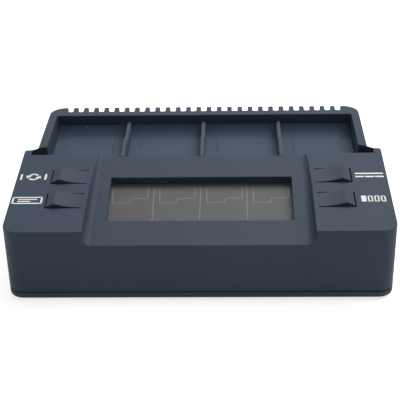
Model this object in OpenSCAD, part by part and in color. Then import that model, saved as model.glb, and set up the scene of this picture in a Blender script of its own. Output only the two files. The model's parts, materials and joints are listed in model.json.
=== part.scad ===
// Table-top battery charger. A wide front block has a sunken, sloping display field and four
// tongue keys. Behind it lies a shallow tray with a notched rear wall. The floor of its four cell
// bays is an insert with a cove at the back.
// Inside are a sloping display board, a flat main board and the sprung cell contacts.
// x runs to the right, y from the front to the back and z up. All sizes are in millimetres.

/* [Case] */
// Width of the front block
block_w = 130; // [126:0.5:140]
// Depth from the front face to the tips of the rear teeth
case_d = 86.7; // [84:0.1:96]
// Depth of the front block without its ears
block_d = 48.4; // [47:0.1:51]
// How far the two ears reach behind the block, which leaves a groove before the tray
ear_d = 3.4; // [2.6:0.1:4.2]
// Thickness of the ears
ear_t = 2.8; // [2.3:0.1:4]
// Width of the tray section
tray_w = 120; // [116:0.5:123]
// Radius of the block's front corners, seen from above
corner_r = 5; // [2:0.5:7]
// Radius of the tray's rear corners, seen from above
tray_corner_r = 6; // [2:0.5:8]
// Height of the block's top at the front face, above the base
front_h = 26.3; // [25:0.1:29]
// Slope of the block's top, in degrees
top_slope = 4.36; // [3:0.02:5]
// Height of the tray's rim above the base
rim_h = 31.2; // [30.5:0.1:36]
// Thickness of the upright walls
wall = 2.2; // [1.8:0.1:2.6]
// Thickness of the block's top
top_t = 2; // [1.6:0.1:2.4]
// Radius that rounds the front ends of the tray's rim
rim_end_r = 0.8; // [0.4:0.1:1.4]
// Radius of the corners where the ears meet the tray's sides, seen from above
ear_corner_r = 1.2; // [0.6:0.1:2]

/* [Base] */
// Height of the seam between the two shells
seam_h = 2.9; // [2.6:0.1:4]
// Height of the shadow gap in the seam
seam_gap = 0.4; // [0.2:0.1:0.6]
// Depth of the shadow gap
seam_inset = 0.6; // [0.3:0.1:1]
// Thickness of the base plate
base_t = 2; // [1.6:0.1:2.2]
// Radius of the base's lower edge
base_edge_r = 1; // [0.4:0.1:1.6]
// Height of the lip that locates the upper shell
lip_h = 2; // [1:0.1:3]
// Thickness of the lip
lip_t = 1.2; // [0.8:0.1:1.6]
// Clearance between parts that slide into each other
fit_gap = 0.15; // [0.1:0.05:0.3]
// Number of slots in the base
vent_n = 11; // [5:2:13]
// Width of a base slot
vent_w = 1.8; // [1.2:0.1:2.4]
// Length of a base slot
vent_l = 24; // [12:1:30]
// Distance between base slots
vent_pitch = 5; // [4:0.25:6]
// Diameter of a foot
foot_d = 8; // [6:0.5:10]
// How far a foot stands below the base
foot_h = 1; // [0.6:0.1:2]
// Depth of the recess that a foot sits in
foot_recess = 0.6; // [0.3:0.1:1]
// Distance from the front face to the front feet
foot_front = 14; // [10:0.5:18]
// Distance from the rear teeth to the rear feet
foot_rear = 18.7; // [12:0.1:22]
// Distance from the block's side to the front feet
foot_side = 15; // [12:0.5:20]
// Distance from the tray's side to the rear feet
foot_rear_side = 10; // [8:0.5:14]

/* [Display field] */
// Distance from the block's side to the sunken field
field_side = 26.6; // [26:0.1:28]
// Height of the field at the front face, above the base
field_front_h = 21; // [20:0.1:22.5]
// Slope of the field, in degrees
field_slope = 9.59; // [8.5:0.01:10]
// Radius of the fillets along the field's sides
field_fillet = 2.6; // [1:0.1:4]
// Distance from the field's side to the window
window_side = 6.6; // [6.4:0.1:10]
// Depth of the window, along the slope
window_d = 23.7; // [20:0.1:24.5]
// Distance from the front face to the window, along the slope
window_front = 12.8; // [12:0.1:13.5]
// Thickness of the clear pane
pane_t = 1.2; // [0.8:0.1:1.5]
// How far the pane reaches under the field on each side
pane_margin = 2; // [1:0.1:2.2]
// Thickness of the display cell
lcd_t = 2.2; // [1.4:0.1:2.6]
// How far the display cell reaches past the window on each side
lcd_margin = 2.8; // [2.6:0.1:3]
// Wall of the display frame
frame_t = 1.6; // [1:0.1:1.8]
// Distance from the display cell to the board below it
lcd_rise = 3.9; // [3:0.1:4.5]
// Width of an elastic connector strip
strip_w = 1.6; // [1.2:0.1:1.8]

/* [Tray] */
// Thickness of the tray's side walls
tray_side = 3.15; // [2.6:0.05:4]
// Width of the flat band behind the tray, with its teeth
rear_band = 7.6; // [6.8:0.1:10]
// Depth of the bays below the rim
bay_depth = 7.6; // [6.5:0.1:8]
// Thickness of the tray's floor
floor_t = 2; // [1.6:0.1:2.2]
// Thickness of a divider
divider_t = 1.5; // [1:0.1:2.5]
// Height of the divider's low rear part above the tray's floor
divider_low_h = 4.9; // [3:0.1:6]
// Length of the divider's high front part
divider_high_d = 11.2; // [8:0.1:16]
// Width of the raised pad in each bay
pad_w = 18; // [12:0.5:22]
// Height of the raised pad
pad_h = 0.3; // [0.2:0.1:0.6]
// Radius of the cove at the back of the bays
cove_r = 4.8; // [4.4:0.1:6]
// Height of the cove above the floor of the bays
cove_h = 3.9; // [3:0.1:4.2]
// Radius of the insert's rear corners, seen from above
insert_corner_r = 2; // [0.8:0.1:3]
// Gap between the insert and the walls round it
insert_gap = 0.1; // [0.05:0.05:0.2]
// Thickness of the flange that holds the insert under the walls
flange_t = 1; // [0.8:0.1:1.2]

/* [Rear teeth] */
// Number of notches in the rear wall
notch_n = 27; // [9:2:27]
// Distance between notches
notch_pitch = 4.02; // [3.6:0.02:4.1]
// Width of a notch
notch_w = 2.18; // [1.4:0.02:2.4]
// Depth of a notch, from the tips of the teeth
notch_d = 3.85; // [2:0.05:4.2]
// Height of the floor of the notches above the base
notch_floor_h = 19.5; // [19.2:0.1:22]
// Radius of the inner corners of a notch
notch_r = 0.6; // [0.2:0.1:0.8]

/* [Keys] */
// Distance from the field's side to the root of a key
key_gap = 1.5; // [1:0.1:2.6]
// Length of a key, from its root to its free end
key_l = 12.3; // [11:0.1:13]
// Width of a key
key_w = 8.2; // [7:0.1:9]
// Thickness of a key at its root
key_t = 1.6; // [1.2:0.1:2]
// Width of the slits round a key
slit = 0.45; // [0.3:0.05:0.7]
// Height of the ridge near the free end
ridge_h = 1.6; // [0.8:0.1:2.2]
// Distance from the ridge to the free end
ridge_back = 2.9; // [2:0.1:4]
// Height of the free end above the top
tip_h = 0.25; // [0:0.05:0.6]
// Distance from the front face to the middle of the front keys
key_row_front = 18.5; // [17:0.1:20]
// Distance from the front face to the middle of the rear keys
key_row_rear = 33.6; // [31:0.1:34.5]
// Diameter of the post under a key
post_d = 3; // [2:0.1:3.4]
// Gap between a post and the stem of its switch
stem_gap = 0.2; // [0.15:0.05:0.4]
// Side of a switch body
switch_w = 6; // [5:0.1:6.5]
// Height of a switch body
switch_h = 3.5; // [3:0.1:4]
// Diameter of a switch stem
stem_d = 3.4; // [2.6:0.1:3.8]
// How far a stem stands above its switch
stem_rise = 1.5; // [1:0.1:2]

/* [Cell contacts] */
// Thickness of the cells that the charger takes
cell_t = 17.5; // [15:0.5:18]
// Distance between the two terminals of a cell
terminal_pitch = 12.7; // [11:0.1:14]
// Width of the slot for each blade
slot_w = 4.4; // [4.2:0.1:5]
// Distance from the block to the slots
slot_front = 3; // [2.6:0.1:3.6]
// Depth of the slots behind the middle of the terminals
slot_rear = 1.6; // [1.6:0.1:3]
// Thickness of the contact block's plate
block_plate_t = 1.6; // [1.2:0.1:2]
// How far the plate reaches past the slots
block_margin = 1.4; // [1:0.1:1.4]
// Depth of the bar that holds a blade
bar_d = 1.7; // [1.2:0.1:2.2]
// Height of the bar that holds a blade
bar_h = 1; // [0.7:0.05:1.2]
// Width of a contact blade
blade_w = 3.4; // [2.6:0.1:3.6]
// Thickness of a contact blade
blade_t = 0.3; // [0.2:0.05:0.4]
// Rise of a blade's crest above its root
blade_rise = 2.25; // [1.9:0.05:2.4]

/* [Boards] */
// Thickness of both boards
board_t = 1.6; // [1:0.1:1.6]
// Width of the main board
main_w = 95; // [90:0.5:96]
// Distance from the front face to the main board
main_front = 10; // [9:0.1:11]
// Distance from the main board to the rear teeth
main_rear = 4.7; // [4:0.1:6]
// Distance from the front face to the front posts under the main board
standoff_front = 15; // [13:0.5:20]
// Distance from the rear teeth to the rear posts under the main board
standoff_rear = 14.7; // [13:0.1:20]
// Height of the main board's lower face above the base
main_h = 5; // [4.6:0.1:5]
// Distance from the block's side to the display board
display_side = 11.5; // [11:0.25:12.5]
// Distance from the front face to the display board, along the slope
display_front = 4.6; // [4:0.1:6]
// Distance from the display board to the block's rear, along the slope
display_rear = 4.2; // [2.8:0.1:4.8]
// Distance from the window to the middle of the posts that hold the display board
hold_side = 13.2; // [13:0.1:13.7]
// Width of the flat link between the boards
link_w = 14; // [8:0.5:20]
// Thickness of the flat link
link_t = 0.4; // [0.3:0.05:0.6]
// Distance from the front face to the bend of the flat link
link_y = 46; // [44:0.1:48]

/* [Parts on the main board] */
// Distance from the front face to the middle of the controller chip
chip_y = 26; // [20:0.5:34]
// Side of the controller chip's body
chip_w = 10; // [8:0.5:12]
// Distance from the rear teeth to the middle of the charge transistors
transistor_rear = 30.7; // [27:0.1:33]
// Width of a charge transistor's body
transistor_w = 6.6; // [5:0.1:7]
// Distance from the middle plane to the choke
choke_x = 30; // [26:0.5:34]
// Distance from the rear teeth to the middle of the choke
choke_rear = 18.7; // [16:0.1:24]
// Diameter of the choke
choke_d = 10; // [8:0.5:12]
// Height of the choke
choke_h = 7; // [5:0.5:8]
// Distance from the middle plane to each capacitor
capacitor_x = 12; // [8:0.5:16]
// Distance from the rear teeth to the middle of the capacitors
capacitor_rear = 15.7; // [14:0.1:20]
// Diameter of a capacitor
capacitor_d = 8; // [6:0.5:9]
// Height of a capacitor
capacitor_h = 11.5; // [9:0.5:12]

/* [Screws and socket] */
// Diameter of the case screws
case_screw_d = 2.9; // [2.4:0.1:3.2]
// Length of the case screws below their heads
case_screw_l = 12; // [10:0.5:12.5]
// Diameter of the board screws
board_screw_d = 2.4; // [2:0.1:2.6]
// Distance from the block's side to the front case screws
screw_inset = 7; // [6.8:0.1:7.5]
// Distance from the tray's side to the rear case screws
rear_screw_inset = 6.8; // [6.6:0.1:7]
// Distance from the middle plane to the power socket, towards the left
inlet_x = 30; // [24:0.5:34]
// Height of the power socket's middle above the main board
inlet_rise = 5.3; // [5:0.1:5.6]
// Diameter of the round opening in front of the power socket
inlet_hole_d = 9.5; // [8:0.1:10]
// Width of the power socket's body
inlet_w = 9; // [8.8:0.1:10]
// Length of the power socket's body
inlet_l = 14; // [12:0.5:16]
// Depth of the power socket's bore
inlet_bore_l = 9.5; // [8:0.5:11]
// Diameter of the power socket's bore
socket_d = 6.4; // [5.6:0.1:7]
// Diameter of the power socket's pin
pin_d = 2; // [1.6:0.1:2.5]

/* [Hidden] */

$fn = 48;
// Steps in a quarter turn of an outline
corner_steps = 8;
// A length that reaches past everything
far = 200;

ear_y = block_d + ear_d;
tray_back_y = case_d - rear_band;
floor_h = rim_h - bay_depth;
ceiling_h = floor_h - floor_t;
field_w = block_w - 2 * field_side;
window_w = field_w - 2 * window_side;
key_root = field_w / 2 + key_gap;
display_w = block_w - 2 * display_side;
display_l = block_d - display_front - display_rear;
hold_x = window_w / 2 + hold_side;
tray_half = tray_w / 2 - tray_side;
groove_half = block_w / 2 - ear_t;
bay_w = (2 * tray_half - 3 * divider_t) / 4;
bay_pitch = bay_w + divider_t;

slope_diff = field_slope - top_slope;
field_drop = front_h - field_front_h;
pane_top = -top_t;
lcd_top = pane_top - pane_t - fit_gap;
lcd_bottom = lcd_top - lcd_t;
board_top = lcd_bottom - lcd_rise;
board_bottom = board_top - board_t;
switch_top = board_top + switch_h;
stem_top = switch_top + stem_rise;
hold_v = [display_front + 3.8, display_front + display_l - 3.2];
hold_d = 4.5;
hold_screw_d = 2;

press_x = key_root + key_l - ridge_back - 1;
main_top = main_h + board_t;
inlet_h = main_top + inlet_rise;
screw_front_y = 6.8;
screw_rear_y = case_d - 8.7;
boss_d = 7;
pillar_d = 8.4;
pillar_h = seam_h + lip_h;
head_d = 5.6;
head_h = 2.2;
head_z = 0.8;
standoff_x = 42.5;
standoff_y = [standoff_front, case_d - standoff_rear];
foot_x = [block_w / 2 - foot_side, tray_w / 2 - foot_rear_side];
foot_y = [foot_front, case_d - foot_rear];

cell_y = block_d + fit_gap + cell_t / 2;
slot_y = [block_d + slot_front, cell_y + slot_rear];
bar_back_y = slot_y[0] + fit_gap + bar_d;
flange_h = ceiling_h - flange_t;
blade_root_h = ceiling_h + fit_gap;

slate = "#4d5967";
slate_dark = "#343b43";
board_green = "#2e5a3c";
plastic_black = "#1b1c1e";
metal = "#b9bcc0";

// Depth under the block's top at which a post over y meets the top of its switch stem
function press_depth(y) =
    (field_drop * cos(field_slope) - y * sin(slope_diff) - stem_top) / cos(slope_diff);
// Place of that switch along the field's slope
function switch_v(y) =
    y * cos(slope_diff) + field_drop * sin(field_slope) - press_depth(y) * sin(slope_diff);
// Height of the block's top over the field's plane, at a distance along the slope
function top_over_field(v) = (field_drop * cos(top_slope) - v * sin(slope_diff)) / cos(slope_diff);
function bay_x(i) = (i - 2.5) * bay_pitch;
function row_y(front) = front ? key_row_front : key_row_rear;
// Points of a round stretch about a centre
function arc(x, y, r, from, to) =
    [for (i = [0:corner_steps]) let (a = from + (to - from) * i / corner_steps)
        [x + r * cos(a), y + r * sin(a)]];
// Outline of a rectangle with round front and rear corners
function outline(half, front, back, front_r, back_r) = concat(
    arc(half - front_r, front + front_r, front_r, -90, 0),
    arc(half - back_r, back - back_r, back_r, 0, 90),
    arc(-half + back_r, back - back_r, back_r, 90, 180),
    arc(-half + front_r, front + front_r, front_r, 180, 270));

// Frames that the pieces are drawn in

// From the case's own frame, with the front face at y = 0 and the base at z = 0
module in_case() { translate([0, -case_d / 2, foot_h]) children(); }
// On the block's top: x across, y up the slope, z out of the surface
module on_top() { in_case() translate([0, 0, front_h]) rotate([top_slope, 0, 0]) children(); }
// On the display field: x across, y up the slope, z out of the surface
module on_field() { in_case() translate([0, 0, field_front_h]) rotate([field_slope, 0, 0]) children(); }
// A copy on the left where side is -1
module on_side(side) { mirror([side < 0 ? 1 : 0, 0, 0]) children(); }
module box(x, y, z) { translate([x[0], y[0], z[0]]) cube([x[1] - x[0], y[1] - y[0], z[1] - z[0]]); }
module pin(d, z) { translate([0, 0, z[0]]) cylinder(d = d, h = z[1] - z[0]); }
// A side profile in y and z, drawn out to both sides of the middle plane
module across(half) { rotate([90, 0, 90]) translate([0, 0, -half]) linear_extrude(2 * half) children(); }

module block_outline(inset) {
    polygon(outline(block_w / 2 - inset, inset, ear_y - inset,
        max(corner_r - inset, 0.3), max(1 - inset, 0.3)));
}
module tray_outline(inset, front) {
    polygon(outline(tray_w / 2 - inset, front, case_d - inset, 0.3, max(tray_corner_r - inset, 0.5)));
}
// The rounded corners between the ears and the tray's sides
module ear_corners(inset) {
    x = tray_w / 2 - inset;
    y = ear_y - inset;
    r = ear_corner_r;
    for (side = [0, 1]) mirror([side, 0]) polygon(concat([[x - 0.5, y - 0.5], [x + r, y - 0.5]],
        arc(x + r, y + r, r, 270, 180), [[x - 0.5, y + r]]));
}
module plan(inset) {
    block_outline(inset);
    tray_outline(inset, block_d - wall);
    ear_corners(inset);
}

// Upper shell

// Everything under the block's top, lowered by a depth
module under_top(depth) {
    across(block_w) polygon([[-far, 0], [far, 0], [far, front_h - depth + far * tan(top_slope)],
        [-far, front_h - depth - far * tan(top_slope)]]);
}
// The sunken field as a cut that ends in the groove before the tray
module field_cut() {
    r = field_fillet;
    half = field_w / 2;
    profile = concat(arc(half - r, r, r, -90, 0), [[half, far], [-half, far]],
        arc(-half + r, r, r, 180, 270));
    intersection() {
        translate([0, 0, field_front_h]) rotate([field_slope, 0, 0])
            rotate([90, 0, 0]) translate([0, 0, -far]) linear_extrude(2 * far) polygon(profile);
        box([-block_w, block_w], [-far, block_d + ear_d / 2], [0, far]);
    }
}
// The room that the field's floor and side walls take out of the block's inside
module field_pan() {
    translate([0, 0, field_front_h]) rotate([field_slope, 0, 0])
        box([-field_w / 2 - top_t, field_w / 2 + top_t], [-far, far], [-top_t, far]);
}
module outer_block() {
    intersection() {
        linear_extrude(far) {
            block_outline(0);
            ear_corners(0);
        }
        under_top(0);
        box([-block_w, block_w], [-1, far], [seam_h, far]);
    }
}
// A ramp that joins each ear to the higher rim
module shoulders() {
    low = front_h + ear_y * tan(top_slope);
    for (side = [-1, 1]) on_side(side) translate([0, ear_y, 0]) rotate([90, 0, 0]) linear_extrude(1.6)
        polygon([[tray_w / 2 - 0.5, low - 1], [groove_half + 0.3, low - 1], [groove_half + 0.3, low - 0.1],
            [tray_w / 2 - 0.5, rim_h - 0.15]]);
}
// The tray section, with the front ends of its rim rounded
module outer_tray() {
    r = rim_end_r;
    intersection() {
        linear_extrude(far) tray_outline(0, block_d);
        across(block_w) polygon(concat([[block_d, seam_h], [far, seam_h], [far, rim_h]],
            arc(ear_y - 0.6 + r, rim_h - r, r, 90, 180),
            [[ear_y - 0.6, front_h], [block_d, front_h]]));
    }
}
module inner_room() {
    difference() {
        intersection() {
            union() {
                linear_extrude(far) polygon(outline(block_w / 2 - wall, wall, block_d - wall,
                    corner_r - wall, 0.3));
                linear_extrude(ceiling_h) block_outline(wall);
            }
            under_top(top_t);
        }
        field_pan();
    }
    linear_extrude(notch_floor_h - wall) tray_outline(wall, block_d - wall);
    linear_extrude(ceiling_h) polygon(outline(tray_w / 2 - wall, block_d - wall,
        case_d - notch_d - wall, 0.3, tray_corner_r - wall));
}
// The opening for the insert and the groove between the ears, with slanted ends at the rim
module tray_room() {
    translate([0, 0, ceiling_h - 0.5]) linear_extrude(far)
        polygon(outline(tray_half, block_d, tray_back_y, 0.3, 0.8));
    translate([0, 0, floor_h]) linear_extrude(far) polygon([[-groove_half, block_d], [groove_half, block_d],
        [groove_half, ear_y - 0.7], [tray_half, ear_y + 0.6], [-tray_half, ear_y + 0.6],
        [-groove_half, ear_y - 0.7]]);
}
module notches() {
    half = notch_w / 2;
    depth = case_d - notch_d;
    profile = concat([[half, far], [-half, far]],
        arc(-half + notch_r, depth + notch_r, notch_r, 180, 270),
        arc(half - notch_r, depth + notch_r, notch_r, 270, 360));
    for (i = [0:notch_n - 1])
        translate([(i - (notch_n - 1) / 2) * notch_pitch, 0, notch_floor_h])
            linear_extrude(far) polygon(profile);
}
// A divider is high beside the block, where it keeps the field's slope, and low behind
module divider() {
    high_y = block_d + divider_high_d;
    high_z = min(field_front_h + high_y * tan(field_slope), rim_h);
    front = block_d + insert_gap;
    back = tray_back_y - insert_gap;
    across(divider_t / 2) polygon([[front, floor_h - 1], [back, floor_h - 1],
        [back, floor_h + divider_low_h], [high_y, floor_h + divider_low_h],
        [high_y, high_z], [front, field_front_h + front * tan(field_slope)]]);
}
module bosses() {
    for (side = [-1, 1]) {
        translate([side * (block_w / 2 - screw_inset), screw_front_y, 0])
            pin(boss_d, [pillar_h + fit_gap, front_h - top_t / 2]);
        on_side(side) translate([tray_w / 2 - rear_screw_inset, screw_rear_y, 0]) {
            pin(boss_d, [pillar_h + fit_gap, flange_h - fit_gap]);
            box([0, rear_screw_inset - wall / 2], [-0.8, 0.8], [pillar_h + fit_gap, flange_h - fit_gap]);
            box([-0.8, 0.8], [0, case_d - wall / 2 - screw_rear_y],
                [pillar_h + fit_gap, notch_floor_h - wall / 2]);
        }
    }
}
module case_screw_bores(d, z) {
    for (side = [-1, 1]) {
        translate([side * (block_w / 2 - screw_inset), screw_front_y, 0]) pin(d, z);
        translate([side * (tray_w / 2 - rear_screw_inset), screw_rear_y, 0]) pin(d, z);
    }
}
module top_housing() {
    color(slate) difference() {
        union() {
            in_case() difference() {
                union() {
                    outer_block();
                    outer_tray();
                    shoulders();
                }
                tray_room();
                field_cut();
                inner_room();
                notches();
                translate([-inlet_x, case_d - wall - 1, inlet_h]) rotate([-90, 0, 0])
                    pin(inlet_hole_d, [0, far]);
            }
            in_case() bosses();
            on_field() for (side = [-1, 1]) for (v = hold_v)
                translate([side * hold_x, v, 0]) pin(hold_d, [board_top, top_over_field(v) - top_t / 2]);
        }
        on_field() {
            box([-window_w / 2, window_w / 2], [window_front, window_front + window_d], [-2 * top_t, 5]);
            for (side = [-1, 1]) for (v = hold_v)
                translate([side * hold_x, v, 0]) pin(hold_screw_d, [board_top - 1, board_top + 6]);
        }
        on_top() for (side = [-1, 1]) for (y = [key_row_front, key_row_rear]) on_side(side)
            box([key_root, key_root + key_l + slit],
                [y - key_w / 2 - slit, y + key_w / 2 + slit], [-2 * top_t, 5]);
        in_case() case_screw_bores(case_screw_d + 0.1, [pillar_h - 1, pillar_h + 11]);
    }
}

// Bay insert

// The floor of the bays, which rises at the back in a cove with a bevelled upper edge
module insert_body() {
    back = tray_back_y - insert_gap;
    turn = acos(1 - cove_h / cove_r);
    start = back - 0.5 - cove_r * sin(turn);
    intersection() {
        linear_extrude(far)
            polygon(outline(tray_half - insert_gap, block_d + insert_gap, back, 0.3, insert_corner_r));
        across(tray_half) polygon(concat([[block_d, flange_h], [back, flange_h],
            [back, floor_h + cove_h - 0.5]], arc(start, floor_h + cove_r, cove_r, turn - 90, -90),
            [[block_d, floor_h]]));
    }
}
module bay_insert() {
    color(slate) in_case() difference() {
        union() {
            insert_body();
            translate([0, 0, flange_h]) linear_extrude(flange_t)
                polygon(outline(tray_w / 2 - wall - fit_gap, block_d - wall + fit_gap,
                    case_d - notch_d - wall - fit_gap, 0.3, tray_corner_r - wall));
            for (i = [-1:1]) translate([i * bay_pitch, 0, 0]) divider();
            for (i = [1:4]) box([bay_x(i) - pad_w / 2, bay_x(i) + pad_w / 2],
                [slot_y[1] + 0.3, tray_back_y - 1.5], [floor_h - 0.5, floor_h + pad_h]);
        }
        box([-tray_half + 2, tray_half - 2], [block_d + 1, tray_back_y - 2.5], [0, ceiling_h]);
        for (i = [1:4]) for (side = [-1, 1]) translate([bay_x(i) + side * terminal_pitch / 2, 0, 0])
            box([-slot_w / 2, slot_w / 2], slot_y, [ceiling_h - 1, floor_h + 1]);
    }
}

// Lower shell

// The base plate with its rounded lower edge
module rounded_base() {
    r = base_edge_r;
    hull() {
        for (a = [0, 30, 60]) translate([0, 0, r * (1 - sin(a))])
            linear_extrude(0.02) block_outline(r * (1 - cos(a)));
        linear_extrude(0.02) block_outline(r);
    }
    hull() {
        for (a = [0, 30, 60]) translate([0, 0, r * (1 - sin(a))])
            linear_extrude(0.02) tray_outline(r * (1 - cos(a)), block_d);
        linear_extrude(0.02) tray_outline(r, block_d);
    }
}
module bottom_housing() {
    color(slate_dark) in_case() difference() {
        union() {
            difference() {
                union() {
                    rounded_base();
                    translate([0, 0, base_edge_r]) linear_extrude(seam_h - seam_gap - base_edge_r) plan(0);
                    translate([0, 0, base_edge_r]) linear_extrude(seam_h - base_edge_r) plan(seam_inset);
                    translate([0, 0, base_edge_r])
                        linear_extrude(seam_h + lip_h - base_edge_r) plan(wall + fit_gap);
                }
                translate([0, 0, base_t]) linear_extrude(far) plan(wall + fit_gap + lip_t);
            }
            case_screw_bores(pillar_d, [base_t / 2, pillar_h]);
            for (side = [-1, 1]) for (y = standoff_y)
                translate([side * standoff_x, y, 0]) pin(5.5, [base_t / 2, main_h]);
        }
        case_screw_bores(case_screw_d + 0.5, [-1, pillar_h + 1]);
        case_screw_bores(head_d + 0.6, [-1, head_z + head_h]);
        for (side = [-1, 1]) for (y = standoff_y)
            translate([side * standoff_x, y, 0]) pin(board_screw_d + 0.1, [base_t, main_h + 1]);
        for (side = [-1, 1]) for (i = [0, 1])
            translate([side * foot_x[i], foot_y[i], 0]) pin(foot_d, [-1, foot_recess]);
        for (i = [0:vent_n - 1]) translate([(i - (vent_n - 1) / 2) * vent_pitch, case_d / 2, 0])
            box([-vent_w / 2, vent_w / 2], [-vent_l / 2, vent_l / 2], [-1, far]);
    }
}
module foot(side, i) {
    color(plastic_black) in_case() translate([side * foot_x[i], foot_y[i], 0])
        rotate_extrude() polygon([[0, foot_recess], [foot_d / 2, foot_recess], [foot_d / 2, -foot_h + 0.3],
            [foot_d / 2 - 0.3, -foot_h], [0, -foot_h]]);
}
// A pan head with a cross recess on a plain shank that points up from z = 0
module screw(d, length, width, height) {
    difference() {
        pin(width, [-height, 0]);
        for (turn = [0, 90]) rotate(turn)
            box([-width * 0.32, width * 0.32], [-d * 0.12, d * 0.12], [-height - 1, -height * 0.45]);
    }
    pin(d, [0, length]);
}
module case_screws() {
    color(metal) in_case() for (side = [-1, 1]) {
        translate([side * (block_w / 2 - screw_inset), screw_front_y, head_z + head_h])
            screw(case_screw_d, case_screw_l, head_d, head_h);
        translate([side * (tray_w / 2 - rear_screw_inset), screw_rear_y, head_z + head_h])
            screw(case_screw_d, case_screw_l, head_d, head_h);
    }
}

// Keys and their switches

// Side profile of a key: a ridge near its free end, and a hollow fall to its root
module key_profile() {
    ridge_x = key_l - ridge_back;
    polygon(concat([[0, -key_t], [key_l, -key_t], [key_l, tip_h]],
        [for (i = [8:-1:0]) [ridge_x * i / 8, ridge_h * pow(i / 8, 2.2)]]));
}
module key(side, front) {
    y = row_y(front);
    color(slate) on_top() on_side(side) {
        translate([key_root, y + key_w / 2, 0]) rotate([90, 0, 0]) linear_extrude(key_w) key_profile();
        translate([press_x, y, 0]) pin(post_d, [-press_depth(y) + stem_gap, -key_t / 2]);
    }
}
module key_switch(side, front) {
    half = switch_w / 2;
    color(plastic_black) on_field() translate([side * press_x, switch_v(row_y(front)), 0])
        difference() {
            box([-half, half], [-half, half], [board_top, switch_top]);
            pin(stem_d + 0.2, [board_top + 1.2, switch_top + 1]);
        }
}
module key_stem(side, front) {
    color(metal) on_field() translate([side * press_x, switch_v(row_y(front)), 0])
        pin(stem_d, [board_top + 1.8, stem_top]);
}

// Display stack

// A flat piece under the window that reaches past it by a margin
module under_window(margin, z) {
    box([-window_w / 2 - margin, window_w / 2 + margin],
        [window_front - margin, window_front + window_d + margin], z);
}
module display_window() {
    color("#3a3d3a", 0.5) on_field() under_window(pane_margin, [pane_top - pane_t, pane_top]);
}
module lcd_glass() {
    color("#6b6b66") on_field() under_window(lcd_margin, [lcd_bottom, lcd_top]);
}
module lcd_frame() {
    color(plastic_black) on_field() difference() {
        under_window(lcd_margin + fit_gap + frame_t, [board_top, lcd_top]);
        under_window(lcd_margin + fit_gap, [board_top - 1, lcd_top + 1]);
    }
}
module lcd_backlight() {
    color("#d8dcd0") on_field() box([-window_w / 2, window_w / 2],
        [window_front + 0.4, window_front + window_d - 0.4], [board_top, lcd_bottom - fit_gap]);
}
module lcd_strip(y) {
    color("#c9a7a0") on_field() box([-window_w / 2, window_w / 2],
        [y - strip_w / 2, y + strip_w / 2], [board_top, lcd_bottom]);
}
module display_board() {
    color(board_green) on_field() difference() {
        box([-display_w / 2, display_w / 2], [display_front, display_front + display_l],
            [board_bottom, board_top]);
        for (side = [-1, 1]) for (v = hold_v)
            translate([side * hold_x, v, 0]) pin(hold_screw_d + 0.6, [board_bottom - 1, board_top + 1]);
    }
}
module display_screws() {
    color(metal) on_field() for (side = [-1, 1]) for (v = hold_v)
        translate([side * hold_x, v, board_bottom]) screw(hold_screw_d - 0.1, board_t + 5, 4, 1.4);
}

// Main board and what it carries

module main_board() {
    color(board_green) in_case() difference() {
        box([-main_w / 2, main_w / 2], [main_front, case_d - main_rear], [main_h, main_top]);
        for (side = [-1, 1]) for (y = standoff_y)
            translate([side * standoff_x, y, 0]) pin(board_screw_d + 0.5, [main_h - 1, main_top + 1]);
    }
}
module board_screws() {
    color(metal) in_case() for (side = [-1, 1]) for (y = standoff_y)
        translate([side * standoff_x, y, main_top]) mirror([0, 0, 1])
            screw(board_screw_d, main_top - base_t - 0.3, 4.8, 1.6);
}
// A flat link that leaves the main board, turns back in one bend and lies under the display board
module board_link() {
    c = cos(field_slope);
    s = sin(field_slope);
    mid_z = main_top + link_t / 2;
    r = (board_bottom - link_t / 2 + link_y * s - (mid_z - field_front_h) * c) / (1 + c);
    turn = 90 + field_slope;
    inner = arc(link_y, mid_z + r, r - link_t / 2, -90, turn);
    outer = arc(link_y, mid_z + r, r + link_t / 2, -90, turn);
    leg = 7;
    steps = corner_steps;
    color("#d9d9d2") in_case() across(link_w / 2) polygon(concat(
        [[link_y - leg, mid_z + link_t / 2], [link_y - leg, mid_z - link_t / 2]],
        outer,
        [outer[steps] + leg * [-c, -s], inner[steps] + leg * [-c, -s]],
        [for (i = [steps:-1:0]) inner[i]]));
}
module controller_chip() {
    half = chip_w / 2;
    lead = half + 0.5;
    color(plastic_black) in_case() translate([0, chip_y, main_top]) {
        box([-half, half], [-half, half], [0.15, 1.5]);
        for (side = [-1, 1]) for (i = [-5:5]) {
            box([i * 0.8 - 0.15, i * 0.8 + 0.15], [side * lead - 0.6, side * lead + 0.6], [0, 0.4]);
            box([side * lead - 0.6, side * lead + 0.6], [i * 0.8 - 0.15, i * 0.8 + 0.15], [0, 0.4]);
        }
    }
}
module charge_transistor(i) {
    half = transistor_w / 2;
    color(plastic_black) in_case() translate([bay_x(i), case_d - transistor_rear, main_top]) {
        box([-half, half], [-3, 3], [0, 2.3]);
        box([-2.7, 2.7], [2, 4.2], [0, 0.5]);
        for (x = [-2.3, 2.3]) box([x - 0.4, x + 0.4], [-5.4, -2], [0, 0.6]);
    }
}
module choke() {
    r = choke_d / 2;
    h = choke_h;
    color("#3c3a38") in_case() translate([choke_x, case_d - choke_rear, main_top])
        rotate_extrude() polygon([[0, 0], [r, 0], [r, 1.2], [r - 1.6, 1.6], [r - 1.6, h - 1.6], [r, h - 1.2],
            [r, h], [0, h]]);
}
module capacitor(side) {
    r = capacitor_d / 2;
    h = capacitor_h;
    color("#22314a") in_case() translate([side * capacitor_x, case_d - capacitor_rear, main_top])
        rotate_extrude() polygon([[0, 0], [r - 0.2, 0], [r, 0.3], [r, 1.2], [r - 0.3, 1.6], [r, 2],
            [r, h - 0.3], [r - 0.3, h], [0, h]]);
}
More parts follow.
